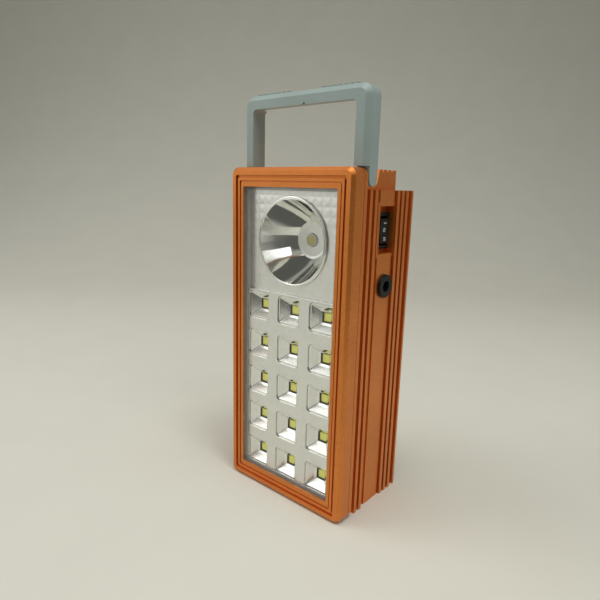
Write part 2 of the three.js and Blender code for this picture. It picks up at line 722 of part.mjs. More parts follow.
add("battery_terminal_pos", batteryTerminal(14), MATERIAL.steel);
add("battery_terminal_neg", batteryTerminal(-14), MATERIAL.steel);
add("battery_foam_pad", batteryPad(), MATERIAL.foam);
add("battery_tray", batteryTray(), MATERIAL.black);
add("control_board", controlBoard(), MATERIAL.greenBoard);
add("dropper_capacitor", dropperCapacitor(), MATERIAL.amber);
add("smoothing_capacitor", smoothingCapacitor(), MATERIAL.black);
add("bridge_rectifier", bridgeRectifier(), MATERIAL.black);
for (const [name, material, points] of wiring()) add(name, wire(points), material);
add("handle", handle(), MATERIAL.handle);
add("handle_screw_left", handleScrew(-1), MATERIAL.steel);
add("handle_screw_right", handleScrew(1), MATERIAL.steel);
let count = 1;
for (const x of [-CASE_SCREWS.x, CASE_SCREWS.x])
  for (const z of CASE_SCREWS.z) add(`case_screw_${count++}`, caseScrew(x, z), MATERIAL.steel);
count = 1;
for (const x of [-BOARD_SCREWS.x, BOARD_SCREWS.x])
  for (const z of BOARD_SCREWS.z) add(`led_board_screw_${count++}`, boardScrew(x, z), MATERIAL.steel);

export default lantern;
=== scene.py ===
"""Looks for a rechargeable emergency lantern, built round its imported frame.

Metres, +Z up, the window faces -Y. Lengths given to helpers are in millimetres unless they say otherwise.
"""

import math

import bmesh
import bpy
from mathutils import Matrix, Vector


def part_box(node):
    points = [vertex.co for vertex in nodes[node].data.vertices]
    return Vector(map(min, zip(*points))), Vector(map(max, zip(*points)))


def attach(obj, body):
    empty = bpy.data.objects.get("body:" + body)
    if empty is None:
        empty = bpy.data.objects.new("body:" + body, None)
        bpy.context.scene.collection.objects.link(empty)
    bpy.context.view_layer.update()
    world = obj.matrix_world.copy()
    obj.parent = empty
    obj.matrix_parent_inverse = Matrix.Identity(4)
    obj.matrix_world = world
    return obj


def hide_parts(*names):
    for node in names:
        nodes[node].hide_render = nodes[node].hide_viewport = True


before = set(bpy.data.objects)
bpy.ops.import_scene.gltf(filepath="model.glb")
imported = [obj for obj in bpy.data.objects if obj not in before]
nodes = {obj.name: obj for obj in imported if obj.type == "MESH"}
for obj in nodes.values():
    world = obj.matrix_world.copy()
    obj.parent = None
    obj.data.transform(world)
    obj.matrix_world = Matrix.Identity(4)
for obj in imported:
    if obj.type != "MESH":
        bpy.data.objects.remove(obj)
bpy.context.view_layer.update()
scene = bpy.context.scene
scene.view_settings.view_transform = "Standard"
MM = 0.001


# ---------------------------------------- camera
def look_from(place, right, forward, lens):
    """A camera at place that looks along forward, with its picture's right side towards right."""
    data = bpy.data.cameras.new("view")
    data.lens = lens
    data.sensor_width = 36
    data.clip_start = 0.01
    data.clip_end = 20
    camera = bpy.data.objects.new("view", data)
    scene.collection.objects.link(camera)
    back = -Vector(forward).normalized()
    across = Vector(right)
    across = (across - back * across.dot(back)).normalized()
    upward = back.cross(across)
    turn = Matrix((across, upward, back)).transposed().to_4x4()
    camera.matrix_world = Matrix.Translation(Vector(place)) @ turn
    scene.camera = camera


look_from(
    place=(0.1716, -0.2161, 0.1670),
    right=(0.7555, 0.6546, 0.0251),
    forward=(-0.6357, 0.7418, -0.2135),
    lens=30.66,
)


# ---------------------------------------- facts that materials and pieces share
panel_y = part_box("led_reflector")[0].y
LAMP_TO_STEP = 5.9
step_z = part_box("led_r1c1")[1].z + LAMP_TO_STEP * MM
BOWL_SKIN = 1.1
bowl_base_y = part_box("torch_reflector")[1].y - BOWL_SKIN * MM
# depth behind the panel's face where the painted shade round each lamp begins
PAINTED_GAP_FROM = 4.68


# ---------------------------------------- materials


def shade(red, green, blue):
    """A screen colour from 0 to 255 as the linear colour a shader takes."""

    def linear(value):
        value /= 255
        return value / 12.92 if value <= 0.04045 else ((value + 0.055) / 1.055) ** 2.4

    return (linear(red), linear(green), linear(blue), 1)


class Look:
    """One Principled material and short calls for the nodes that feed it."""

    def __init__(self, name, **sockets):
        self.material = bpy.data.materials.new("look_" + name)
        self.material.use_nodes = True
        self.tree = self.material.node_tree
        self.shader = self.tree.nodes["Principled BSDF"]
        self.place = self.tree.nodes.new("ShaderNodeTexCoord").outputs["Object"]
        for socket, value in sockets.items():
            self.shader.inputs[socket.replace("_", " ")].default_value = value

    def feed(self, socket, value):
        if isinstance(value, bpy.types.NodeSocket):
            self.tree.links.new(value, socket)
        else:
            socket.default_value = value

    def set(self, socket, value):
        self.feed(self.shader.inputs[socket], value)

    def noise(self, size, detail=3.0, rough=0.55, stretch=None):
        """Noise from 0 to 1 with features of about size, longer along an axis with a small stretch."""
        node = self.tree.nodes.new("ShaderNodeTexNoise")
        node.inputs["Scale"].default_value = 1 / (size * MM)
        node.inputs["Detail"].default_value = detail
        node.inputs["Roughness"].default_value = rough
        place = self.place
        if stretch:
            warp = self.tree.nodes.new("ShaderNodeMapping")
            warp.inputs["Scale"].default_value = stretch
            self.tree.links.new(place, warp.inputs["Vector"])
            place = warp.outputs["Vector"]
        self.tree.links.new(place, node.inputs["Vector"])
        return node.outputs["Fac"]

    def cells(self, size, output="Distance", feature="F1", metric="EUCLIDEAN"):
        node = self.tree.nodes.new("ShaderNodeTexVoronoi")
        node.feature = feature
        node.distance = metric
        node.inputs["Scale"].default_value = 1 / (size * MM)
        self.tree.links.new(self.place, node.inputs["Vector"])
        return node.outputs[output]

    def span(self, value, low, high, to_low=0.0, to_high=1.0):
        """Value mapped from low..high to to_low..to_high, and held there."""
        node = self.tree.nodes.new("ShaderNodeMapRange")
        self.feed(node.inputs["Value"], value)
        node.inputs["From Min"].default_value = low
        node.inputs["From Max"].default_value = high
        node.inputs["To Min"].default_value = to_low
        node.inputs["To Max"].default_value = to_high
        return node.outputs["Result"]

    def math(self, operation, a, b=0.0):
        node = self.tree.nodes.new("ShaderNodeMath")
        node.operation = operation
        self.feed(node.inputs[0], a)
        self.feed(node.inputs[1], b)
        return node.outputs["Value"]

    def part_of(self, vector, name):
        node = self.tree.nodes.new("ShaderNodeSeparateXYZ")
        self.tree.links.new(vector, node.inputs["Vector"])
        return node.outputs[name]

    def axis(self, name):
        """The place on the piece along one axis, in metres."""
        return self.part_of(self.place, name)

    def facing(self, name):
        """How far the surface faces along one axis, from -1 to 1."""
        return self.part_of(self.tree.nodes.new("ShaderNodeNewGeometry").outputs["Normal"], name)

    def mix(self, share, a, b):
        node = self.tree.nodes.new("ShaderNodeMix")
        node.data_type = "RGBA"
        self.feed(node.inputs["Factor"], share)
        self.feed(node.inputs[6], a)
        self.feed(node.inputs[7], b)
        return node.outputs[2]

    def bump(self, height, strength, distance, after=None):
        node = self.tree.nodes.new("ShaderNodeBump")
        node.inputs["Strength"].default_value = strength
        node.inputs["Distance"].default_value = distance * MM
        self.feed(node.inputs["Height"], height)
        if after is not None:
            self.tree.links.new(after, node.inputs["Normal"])
        self.tree.links.new(node.outputs["Normal"], self.shader.inputs["Normal"])
        return node.outputs["Normal"]

    def edges(self, radius):
        """1 within radius of an edge, 0 on flats."""
        soft = self.tree.nodes.new("ShaderNodeBevel")
        soft.samples = 4
        soft.inputs["Radius"].default_value = radius * MM
        flat = self.tree.nodes.new("ShaderNodeNewGeometry")
        both = self.tree.nodes.new("ShaderNodeVectorMath")
        both.operation = "DOT_PRODUCT"
        self.tree.links.new(soft.outputs["Normal"], both.inputs[0])
        self.tree.links.new(flat.outputs["Normal"], both.inputs[1])
        return self.span(both.outputs["Value"], 0.995, 0.88)

    def open_sky(self, reach):
        """1 in the open, falling to 0 in grooves and corners narrower than about reach."""
        node = self.tree.nodes.new("ShaderNodeAmbientOcclusion")
        node.samples = 8
        node.only_local = True
        node.inputs["Distance"].default_value = reach * MM
        return node.outputs["AO"]


def copper_look():
    """Satin metallic copper paint: fine flake, faint orange peel, edges lighter as wear and as a painted
    highlight, painted shade (darker and redder) in the grooves.
    """
    look = Look("copper_body", Metallic=0.72, IOR=1.45, Coat_Weight=0.12, Coat_Roughness=0.3)
    cloud = look.noise(24, 4, 0.6)
    streak = look.noise(3.0, 3, 0.6, stretch=(1, 1, 0.12))
    base = look.mix(look.span(cloud, 0.35, 0.65), shade(210, 122, 51), shade(219, 129, 56))
    base = look.mix(look.span(streak, 0.52, 0.72, 0, 0.25), base, shade(196, 110, 48))
    flake = look.cells(0.28, "Color")
    glint = look.tree.nodes.new("ShaderNodeSeparateColor")
    look.tree.links.new(flake, glint.inputs["Color"])
    base = look.mix(look.span(glint.outputs["Red"], 0.8, 1, 0, 0.35), base, shade(250, 184, 120))
    # edges lighter in patches: partly rubbed wear, partly a painted highlight along the edges
    wear_and_painted_highlight = look.math("MULTIPLY", look.edges(0.45), look.span(look.noise(1.6, 4, 0.7), 0.42, 0.62))
    base = look.mix(look.math("MULTIPLY", wear_and_painted_highlight, 0.5), base, shade(246, 178, 112))
    # painted shade: the base colour turns darker and redder where ambient occlusion finds grooves and
    # corners
    painted_groove_shade = look.span(look.open_sky(2.2), 0.92, 0.45, 0, 0.8)
    look.set("Base Color", look.mix(painted_groove_shade, base, shade(204, 108, 40)))
    rough = look.span(look.noise(1.2, 5, 0.6), 0.3, 0.7, 0.30, 0.42)
    look.set("Roughness", rough)
    peel = look.bump(look.noise(0.7, 3, 0.5), 0.12, 0.05)
    look.bump(glint.outputs["Green"], 0.05, 0.02, after=peel)
    return look.material


def handle_look():
    """Grey-blue moulded plastic with a fine spark texture, its edges lighter as wear and as a painted
    highlight.
    """
    look = Look("handle_grey", IOR=1.47)
    cloud = look.noise(18, 4, 0.6)
    base = look.mix(look.span(cloud, 0.3, 0.7), shade(147, 163, 160), shade(155, 171, 169))
    dust = look.span(look.noise(0.8, 5, 0.7), 0.6, 0.75, 0, 0.35)
    base = look.mix(dust, base, shade(170, 178, 172))
    # edges lighter in patches: partly rubbed wear, partly a painted highlight along the edges
    wear_and_painted_highlight = look.math("MULTIPLY", look.edges(0.5), look.span(look.noise(1.2, 3, 0.6), 0.4, 0.6))
    base = look.mix(look.math("MULTIPLY", wear_and_painted_highlight, 0.4), base, shade(186, 198, 194))
    look.set("Base Color", base)
    look.set("Roughness", look.span(look.noise(1.5, 4, 0.6), 0.3, 0.7, 0.34, 0.46))
    grain = look.bump(look.noise(0.35, 3, 0.6), 0.16, 0.04)
    look.bump(look.noise(6, 2, 0.5), 0.08, 0.1, after=grain)
    return look.material


def clear_look():
    """Clear moulded window: see-through, glossy, dusty, finely scratched, with a cloudy skirt behind."""
    look = Look("clear_cover", IOR=1.49, Roughness=0.06)
    dust = look.span(look.noise(0.5, 5, 0.75), 0.62, 0.8, 0, 0.05)
    hair = look.span(look.noise(0.35, 2, 0.5, stretch=(0.04, 1, 1)), 0.68, 0.74, 0, 0.05)
    tilt = look.tree.nodes.new("ShaderNodeLayerWeight")
    tilt.inputs["Blend"].default_value = 0.5
    glare = look.math("MULTIPLY", look.math("POWER", tilt.outputs["Facing"], 5.0), 0.9)
    solid = look.math("ADD", look.math("ADD", glare, 0.045), look.math("ADD", dust, hair))
    skirt = look.span(look.axis("Y"), panel_y - 1.3 * MM, panel_y - 1.1 * MM, 0, 0.5)
    look.set("Alpha", look.math("ADD", solid, skirt))
    look.set("Base Color", look.mix(dust, shade(216, 216, 214), shade(236, 236, 230)))
    look.set("Roughness", look.span(look.noise(4, 4, 0.6), 0.3, 0.7, 0.03, 0.09))
    return look.material


def metallised_look(name, face_y, mirror_rough, quilt_from=None, base_y=None):
    """Vacuum-metallised plastic: hazy silver on the flat face, a clean mirror on the walls behind it.

    With quilt_from, a height in metres, the panel's own details are added: a quilted field above that
    height, painted shade as dark lines in its steps, painted dark shade in the gap round each lamp, and
    hazier walls where they face up.
    With base_y, a depth in metres, the surface behind it is hazy again.
    """
    look = Look(name, Metallic=1.0)
    haze = look.span(look.noise(3.5, 4, 0.6), 0.3, 0.7)
    base = look.mix(haze, shade(236, 237, 232), shade(244, 245, 241))
    speck = look.span(look.noise(0.4, 4, 0.7), 0.66, 0.78, 0, 0.4)
    base = look.mix(speck, base, shade(206, 208, 204))
    deep = look.span(look.axis("Y"), face_y + 0.1 * MM, face_y + 0.4 * MM)
    walls = look.span(look.noise(2.0, 4, 0.6), 0.3, 0.7, mirror_rough, mirror_rough * 1.6)
    if quilt_from:
        above = look.span(look.axis("Z"), quilt_from - 0.3 * MM, quilt_from - 0.1 * MM)
        deep = look.math("MULTIPLY", deep, look.math("SUBTRACT", 1.0, above))
        # painted shade: grey in the corners of the steps, where ambient occlusion finds them
        corner = look.span(look.open_sky(0.9), 0.9, 0.5, 0, 0.75)
        base = look.mix(corner, base, shade(150, 150, 142))
        # painted shade: dark colour deep in each cup, round the lamp
        painted_gap_shade = look.span(look.axis("Y"), face_y + PAINTED_GAP_FROM * MM, face_y + (PAINTED_GAP_FROM + 0.06) * MM)
        base = look.mix(painted_gap_shade, base, shade(62, 62, 50))
        walls = look.math("ADD", walls, look.span(look.facing("Z"), 0.3, 0.5, 0, 0.17))
    if base_y:
        on_base = look.span(look.axis("Y"), base_y - 0.4 * MM, base_y - 0.2 * MM)
        deep = look.math("SUBTRACT", deep, on_base)
    look.set("Base Color", base)
    face = look.span(look.noise(1.0, 4, 0.6), 0.3, 0.7, 0.30, 0.40)
    flat_part = look.math("MULTIPLY", face, look.math("SUBTRACT", 1.0, deep))
    look.set("Roughness", look.math("ADD", flat_part, look.math("MULTIPLY", walls, deep)))
    wave = look.bump(look.noise(5.0, 2, 0.5), 0.10, 0.12)
    wave = look.bump(look.noise(0.6, 3, 0.5), 0.05, 0.03, after=wave)
    if quilt_from:
        pyramid, slope = 2.4 * MM, 0.05
        across = look.math("PINGPONG", look.axis("X"), pyramid)
        along = look.math("PINGPONG", look.axis("Z"), pyramid)
        peaks = look.math("MINIMUM", across, along)
        look.bump(look.math("MULTIPLY", peaks, look.math("MULTIPLY", above, slope)), 1.0, 1000, after=wave)
    return look.material


def plain_look(name, light, dark, rough=(0.4, 0.55), size=2.0, grain=0.3, strength=0.15, **sockets):
    """A mottled, finely textured surface between two tones."""
    look = Look(name, **sockets)
    base = look.mix(look.span(look.noise(size * 4, 4, 0.6), 0.3, 0.7), dark, light)
    dust = look.span(look.noise(size * 0.4, 5, 0.7), 0.6, 0.78, 0, 0.3)
    pale = tuple(min(1, 0.85 * c + 0.12) for c in light[:3]) + (1,)
    look.set("Base Color", look.mix(dust, base, pale))
    look.set("Roughness", look.span(look.noise(size, 4, 0.6), 0.3, 0.7, *rough))
    look.bump(look.noise(grain, 3, 0.6), strength, 0.05)
    return look.material


def phosphor_look(name, centre, rim, painted_glow):
    """Silicone over phosphor: grainy yellow with a soft sheen, and a faint painted glow that brightens it
    though the lamp is off.
    """
    look = Look(name, IOR=1.42, Coat_Weight=0.3, Coat_Roughness=0.15, Emission_Strength=painted_glow)
    grain = look.mix(look.span(look.noise(0.5, 4, 0.7), 0.35, 0.65), rim, centre)
    look.set("Base Color", grain)
    look.set("Emission Color", grain)
    look.set("Roughness", look.span(look.noise(0.4, 3, 0.6), 0.3, 0.7, 0.35, 0.55))
    look.bump(look.noise(0.15, 3, 0.6), 0.2, 0.03)
    return look.material


def board_look(name, mask, line):
    """Circuit board: solder mask over faint copper tracks."""
    look = Look(name, IOR=1.5, Coat_Weight=0.3, Coat_Roughness=0.25)
    track = look.span(look.cells(5.0, feature="F1", metric="MANHATTAN"), 0.36, 0.40, 0, 0.6)
    base = look.mix(track, mask, line)
    dust = look.span(look.noise(0.5, 4, 0.7), 0.6, 0.75, 0, 0.3)
    look.set("Base Color", look.mix(dust, base, shade(214, 214, 204)))
    look.set("Roughness", look.span(look.noise(1.5, 4, 0.6), 0.3, 0.7, 0.32, 0.5))
    look.bump(track, 0.2, 0.04)
    return look.material


def metal_look(name, light, dark, rough):
    """Turned or stamped metal: fine lines, tarnish in patches."""
    look = Look(name, Metallic=1.0)
    tarnish = look.span(look.noise(2.5, 5, 0.65), 0.42, 0.68)
    look.set("Base Color", look.mix(tarnish, light, dark))
    look.set("Roughness", look.span(look.noise(0.6, 4, 0.6), 0.3, 0.7, *rough))
    look.bump(look.noise(0.25, 3, 0.6, stretch=(1, 0.08, 1)), 0.15, 0.03)
    return look.material


LOOKS = {
    "copper_body": copper_look(),
    "handle_grey": handle_look(),
    "clear_cover": clear_look(),
    "metallised": metallised_look("metallised", panel_y, 0.09, step_z),
    "lamp_white": plain_look(
        "lamp_white", shade(238, 236, 226), shade(222, 218, 204), (0.3, 0.45), 1.2, IOR=1.5
    ),
    "board_white": board_look("board_white", shade(226, 226, 218), shade(206, 206, 196)),
    "board_green": board_look("board_green", shade(24, 92, 54), shade(40, 116, 66)),
    "black_plastic": plain_look(
        "black_plastic", shade(18, 19, 19), shade(12, 13, 13), (0.34, 0.5), 2.0, 0.3, 0.2, IOR=1.36
    ),
    "battery_case": plain_look(
        "battery_case", shade(58, 60, 64), shade(46, 48, 52), (0.42, 0.58), 3.0, 0.5, 0.3
    ),
    "foam": plain_look("foam", shade(70, 70, 72), shade(48, 48, 50), (0.85, 0.95), 0.8, 0.5, 0.8),
    "film_amber": plain_look(
        "film_amber", shade(186, 118, 40), shade(160, 92, 26), (0.2, 0.32), 2.0, Coat_Weight=0.5
    ),
    "wire_red": plain_look("wire_red", shade(186, 34, 28), shade(164, 26, 22), (0.38, 0.5), 2.0),
    "wire_black": plain_look("wire_black", shade(36, 36, 38), shade(26, 26, 28), (0.38, 0.5), 2.0),
    "brass": metal_look("brass", shade(214, 178, 104), shade(168, 128, 66), (0.22, 0.4)),
    "steel": metal_look("steel", shade(196, 198, 200), shade(150, 150, 152), (0.2, 0.38)),
}
BOWL = metallised_look("metallised_bowl", -1.0, 0.045, base_y=bowl_base_y)
# both lamp windows carry a faint painted glow, though the lamps are off
PHOSPHOR = phosphor_look("phosphor", shade(240, 238, 122), shade(228, 224, 100), 0.24)
# painted shade: the lamp package is dark grey to stand for the shadow round each lamp; the part itself is
# white
SHADED_PACKAGE = plain_look("lamp_package", shade(84, 84, 70), shade(66, 66, 54), (0.35, 0.5), 1.2, IOR=1.5)
LENS_YELLOW = phosphor_look("lamp_lens", shade(214, 206, 132), shade(200, 190, 112), 0.02)
PALE_INK = plain_look("pale_ink", shade(214, 216, 214), shade(196, 198, 196), (0.5, 0.6), 0.6)

for name, node in nodes.items():
    for spot in node.material_slots:
        spot.material = LOOKS[spot.material.name.split(".")[0]]


# ---------------------------------------- CAD nodes kept, with softer edges
def soften(name, width, segments=2, angle=28):
    """Modifiers that join a node's loose faces, round its edges and smooth its curved walls."""
    node = nodes[name]
    if node.data.has_custom_normals:
        node.data.attributes.remove(node.data.attributes["custom_normal"])
    for kind in ("sharp_face", "sharp_edge"):
        if kind in node.data.attributes:
            node.data.attributes.remove(node.data.attributes[kind])
    weld = node.modifiers.new("join", "WELD")
    weld.merge_threshold = 0.002 * MM
    flat = node.modifiers.new("flats", "DECIMATE")
    flat.decimate_type = "DISSOLVE"
    flat.angle_limit = math.radians(0.4)
    if width:
        edge = node.modifiers.new("edges", "BEVEL")
        edge.width = width * MM
        edge.segments = segments
        edge.limit_method = "ANGLE"
        edge.angle_limit = math.radians(angle)
        edge.use_clamp_overlap = True
        edge.harden_normals = True
        edge.miter_outer = "MITER_ARC"
    node.data.shade_smooth()
    even = node.modifiers.new("even", "WEIGHTED_NORMAL")
    even.keep_sharp = True
    even.weight = 60
    return node


SOFT_EDGES = {
    "front_bezel": 0.25,
    "rear_shell": 0.25,
    "handle": 0.35,
    "switch_body": 0.2,
    "switch_rocker": 0.2,
    "dc_jack": 0.25,
    "front_lens": 0.2,
}
for name, width in SOFT_EDGES.items():
    soften(name, width)


# ---------------------------------------- making pieces
def new_piece(name, verts, faces, material, body, slot_name, smooth=True, sharp=35):
    """A mesh piece in millimetres that rides on a body."""
    mesh = bpy.data.meshes.new(name)
    mesh.from_pydata([Vector(v) * MM for v in verts], [], faces)
    made = bmesh.new()
    made.from_mesh(mesh)
    bmesh.ops.remove_doubles(made, verts=made.verts, dist=1e-7)
    bmesh.ops.recalc_face_normals(made, faces=made.faces)
    limit = math.radians(sharp)
    for face in made.faces:
        face.smooth = smooth
    for edge in made.edges:
        if len(edge.link_faces) == 2 and edge.calc_face_angle(0) > limit:
            edge.smooth = False
    made.to_mesh(mesh)
    made.free()
    mesh.materials.append(material)
    piece = bpy.data.objects.new(name, mesh)
    scene.collection.objects.link(piece)
    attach(piece, body)
    return piece


def turned(profile, x, z, sides=128):
    """Vertices and faces of a closed profile of (radius, y) points turned about the Y line at x, z."""
    verts, faces = [], []
    for i in range(sides):
        a = 2 * math.pi * i / sides
        for radius, y in profile:
            verts.append((x + radius * math.cos(a), y, z + radius * math.sin(a)))
    count = len(profile)
    for i in range(sides):
        j = (i + 1) % sides
        for k in range(count):
            n = (k + 1) % count
            faces.append((i * count + k, i * count + n, j * count + n, j * count + k))
    return verts, faces


def in_mm(node):
    low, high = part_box(node)
    return low / MM, high / MM


# ---------------------------------------- torch bowl: a smooth mirror with a rolled rim
low, high = in_mm("torch_reflector")
rim = (high.x - low.x) / 2
torch_x, torch_z = (low.x + high.x) / 2, (low.z + high.z) / 2
mouth = low.y
base_y = bowl_base_y / MM
RIM_WIDTH = 1.5
RIM_ROLL = 0.35
BASE_RADIUS = 9.5
LAMP_HOLE_RADIUS = 3.7
mouth_r = rim - RIM_WIDTH


def bowl_point(t):
    """A point (radius, y) of the parabola, from the mouth at 0 to the base at 1."""
    radius = mouth_r + (BASE_RADIUS - mouth_r) * t
    reach = (radius**2 - BASE_RADIUS**2) / (mouth_r**2 - BASE_RADIUS**2)
    return radius, mouth + (base_y - mouth) * (1 - reach)


steps = 40
wall = [bowl_point(i / steps) for i in range(steps + 1)]
turn = [math.pi * i / 10 for i in range(10)]
half = RIM_WIDTH / 2
rim_round = [
    (mouth_r + half + half * math.cos(a), mouth + RIM_ROLL - RIM_ROLL * math.sin(a)) for a in turn
]
base = [(BASE_RADIUS - 0.35, base_y), (LAMP_HOLE_RADIUS, base_y), (LAMP_HOLE_RADIUS, high.y - 0.1)]
outside = [(r + BOWL_SKIN, y) for r, y in reversed(wall) if base_y - 0.3 > y > mouth + 2.4]
neck = mouth_r + BOWL_SKIN
profile = rim_round + wall + base + outside + [(neck, mouth + 2.0), (neck, mouth + 1.0), (rim, mouth + 1.0)]
shape = turned(profile, torch_x, torch_z, 160)
bowl = new_piece("torch_bowl", *shape, BOWL, "housing", "metallised", sharp=32)
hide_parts("torch_reflector")

# the torch's lamp: white holder ring with a yellow lens
low, high = in_mm("torch_led")
holder = [
    (2.72, low.y + 0.9),
    (2.85, low.y + 0.72),
    (3.2, low.y + 0.75),
    (3.4, low.y + 1.0),
    (3.4, high.y),
    (2.0, high.y),
    (2.0, low.y + 1.4),
    (2.6, low.y + 1.2),
]
shape = turned(holder, torch_x, torch_z, 64)
ring = new_piece("torch_lamp_holder", *shape, LOOKS["lamp_white"], "housing", "lamp_white")
dome = [
    (0.01, low.y + 0.3),
    (0.9, low.y + 0.35),
    (1.7, low.y + 0.5),
    (2.3, low.y + 0.7),
    (2.62, low.y + 0.95),
    (2.62, low.y + 1.35),
    (0.01, low.y + 1.35),
]
new_piece("torch_lamp_lens", *turned(dome, torch_x, torch_z, 64), LENS_YELLOW, "housing", "lamp_white")
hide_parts("torch_led")


# ---------------------------------------- square lamps: package painted dark as shade, sunken phosphor
def lamp(node):
    """A square package painted dark for the shade round the lamp, with a swelling yellow window sunk into
    its front.
    """
    low, high = in_mm(node)
    cx, cz, half = (low.x + high.x) / 2, (low.z + high.z) / 2, (high.x - low.x) / 2
    cut, inset = 0.16, 0.27

    def ring(r, y, c):
        """A square with its corners cut, at depth y."""
        return [
            (cx + sx * (r - (c if first else 0)), y, cz + sz * (r - (0 if first else c)))
            for sx, sz, order in ((-1, -1, (0, 1)), (1, -1, (1, 0)), (1, 1, (0, 1)), (-1, 1, (1, 0)))
            for first in order
        ]

    loops = [
        ring(half, high.y, cut),
        ring(half, low.y + 0.12, cut),
        ring(half - 0.08, low.y, cut),
        ring(half - 0.17, low.y, cut),
        ring(half - 0.22, low.y + 0.22, cut),
        ring(half - 0.26, low.y + 0.6, cut),
    ]
    verts = [v for loop in loops for v in loop]
    faces = []
    for i in range(len(loops) - 1):
        for k in range(8):
            n = (k + 1) % 8
            faces.append((i * 8 + k, i * 8 + n, (i + 1) * 8 + n, (i + 1) * 8 + k))
    faces.append(tuple(range(8)))
    faces.append(tuple(range(40, 48)))
    package = new_piece(node + "_package", verts, faces, SHADED_PACKAGE, "housing", "lamp_white", sharp=30)
    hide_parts(node)
    inner = half - inset
    verts, faces = [], []
    count = 7
    for i in range(count):
        for k in range(count):
            u, v = 2 * i / (count - 1) - 1, 2 * k / (count - 1) - 1
            swell = 0.09 * (1 - u * u) * (1 - v * v)
            verts.append((cx + u * inner, low.y + 0.2 - swell, cz + v * inner))
    for i in range(count - 1):
        for k in range(count - 1):
            a = i * count + k
            faces.append((a, a + count, a + count + 1, a + 1))
    window = new_piece(node + "_phosphor", verts, faces, PHOSPHOR, "housing", "lamp_white")
    gel = window.modifiers.new("depth", "SOLIDIFY")
    gel.thickness = 0.3 * MM
    gel.offset = -1


for row in range(1, 6):
    for column in range(1, 4):
        lamp(f"led_r{row}c{column}")


# ---------------------------------------- metallised panel: square cups, a round hole
def rounded_square(cx, cz, half, corner, y, steps=3):
    """Points of a square with round corners, from the +X +Z corner round to the +X -Z one."""
    points = []
    for quarter in range(4):
        mid = math.pi / 2 * quarter + math.pi / 4
        ox = cx + math.copysign(half - corner, math.cos(mid))
        oz = cz + math.copysign(half - corner, math.sin(mid))
        for i in range(steps + 1):
            a = math.pi / 2 * (quarter + i / steps)
            points.append((ox + corner * math.cos(a), y, oz + corner * math.sin(a)))
    return points


# half width, corner radius and depth behind the panel's face: a shallow step, a funnel, a hole for the lamp
CUP_LOOPS = [
    (7.75, 2.4, 0.0),
    (7.68, 2.35, 0.06),
    (7.66, 2.35, 0.62),
    (7.58, 2.3, 0.7),
    (6.6, 0.5, 0.7),
    (6.5, 0.45, 0.8),
    (3.95, 0.4, 3.8),
    (2.95, 0.3, 4.55),
    (2.85, 0.3, 4.66),
    (2.8, 0.3, 4.75),
    (2.8, 0.3, 5.6),
]


TORCH_FIELD_BACK = 1.9


def reflector_panel():
    """A thin shell: a field of cups below, and a field set further back round the torch's hole."""
    low, high = in_mm("led_reflector")
    side, top = high.x, high.z
    torch_y, step = low.y + TORCH_FIELD_BACK, step_z / MM
    verts, faces = [], []

    def put(points):
        start = len(verts)
        verts.extend(points)
        return list(range(start, len(verts)))

    def bridge(a, b):
        for i in range(len(a)):
            j = (i + 1) % len(a)
            faces.append((a[i], a[j], b[j], b[i]))

    middles = {}
    for row in range(1, 6):
        for column in range(1, 4):
            a, b = in_mm(f"led_r{row}c{column}")
            middles[row, column] = ((a.x + b.x) / 2, (a.z + b.z) / 2)
    pitch_x = middles[1, 2][0] - middles[1, 1][0]
    pitch_z = middles[1, 1][1] - middles[2, 1][1]
    for (row, column), (cx, cz) in middles.items():
        x0 = -side if column == 1 else cx - pitch_x / 2
        x1 = side if column == 3 else cx + pitch_x / 2
        z0 = low.z if row == 5 else cz - pitch_z / 2
        z1 = step if row == 1 else cz + pitch_z / 2
        frame_ring = put([(x1, low.y, z1), (x0, low.y, z1), (x0, low.y, z0), (x1, low.y, z0)])
        loops = [put(rounded_square(cx, cz, half, corner, low.y + y)) for half, corner, y in CUP_LOOPS]
        outer = loops[0]
        for quarter in range(4):
            arc = outer[4 * quarter : 4 * quarter + 4]
            for a, b in zip(arc, arc[1:]):
                faces.append((frame_ring[quarter], b, a))
            after = outer[(4 * quarter + 4) % 16]
            faces.append((frame_ring[quarter], frame_ring[(quarter + 1) % 4], after, arc[-1]))
        for a, b in zip(loops, loops[1:]):
            bridge(a, b)
    riser = [(-side, low.y, step), (side, low.y, step), (side, torch_y, step), (-side, torch_y, step)]
    faces.append(tuple(put(riser)))

    turns = [2 * math.pi * i / 96 for i in range(96)]
    turns += [math.atan2(z - torch_z, x) % (2 * math.pi) for x in (-side, side) for z in (step, top)]
    rim_points, hole_points = [], []
    hole = rim - 0.15
    for a in sorted(turns):
        dx, dz = math.cos(a), math.sin(a)
        reach = side / max(abs(dx), 1e-9)
        reach = min(reach, (top - torch_z if dz > 0 else torch_z - step) / max(abs(dz), 1e-9))
        rim_points.append((dx * reach, torch_y, torch_z + dz * reach))
        hole_points.append((dx * hole, torch_y, torch_z + dz * hole))
    inside = put(hole_points)
    bridge(put(rim_points), inside)
    bridge(inside, put([(x, y + 1.0, z) for x, y, z in hole_points]))
    look = LOOKS["metallised"]
    panel = new_piece("reflector_panel", verts, faces, look, "housing", "metallised", smooth=False)
    skin_depth = panel.modifiers.new("skin", "SOLIDIFY")
    skin_depth.thickness = 0.1 * MM
    skin_depth.offset = 0
    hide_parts("led_reflector")


reflector_panel()


